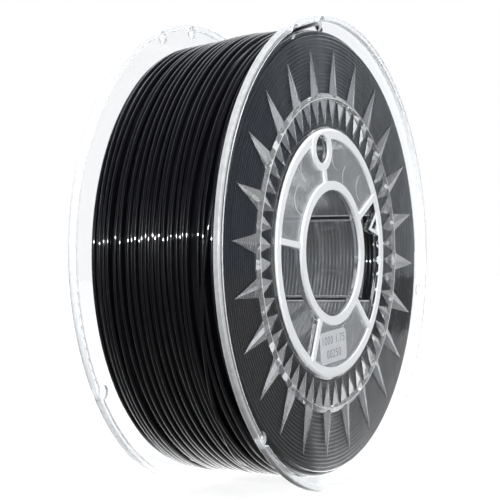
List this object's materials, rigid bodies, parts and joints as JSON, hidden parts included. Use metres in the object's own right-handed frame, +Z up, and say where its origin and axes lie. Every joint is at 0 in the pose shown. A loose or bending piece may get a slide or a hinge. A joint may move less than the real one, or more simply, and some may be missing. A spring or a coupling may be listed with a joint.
{
  "type": "filament spool",
  "caption": "Clear two-part flanged spool wound with black filament, with a central bore, ray ornament and a small label.",
  "frame": {"origin": "middle of the spool, on its axis, halfway between the two flanges", "axes": "+Y along the spool's axis, from the flange with the label to the other flange; +Z up; +X to the right as the label is read"},
  "size_m": [0.2, 0.068, 0.2],
  "materials": {
    "clear_polystyrene": "clear, polished",
    "black_filament": "glossy",
    "label_paper": "matte"
  },
  "bodies": {
    "root": {"near_spool_half": "clear_polystyrene", "far_spool_half": "clear_polystyrene", "filament_winding": "black_filament", "filament_free_end": "black_filament", "filament_start_end": "black_filament", "label": "label_paper"}
  },
  "joints": []
}
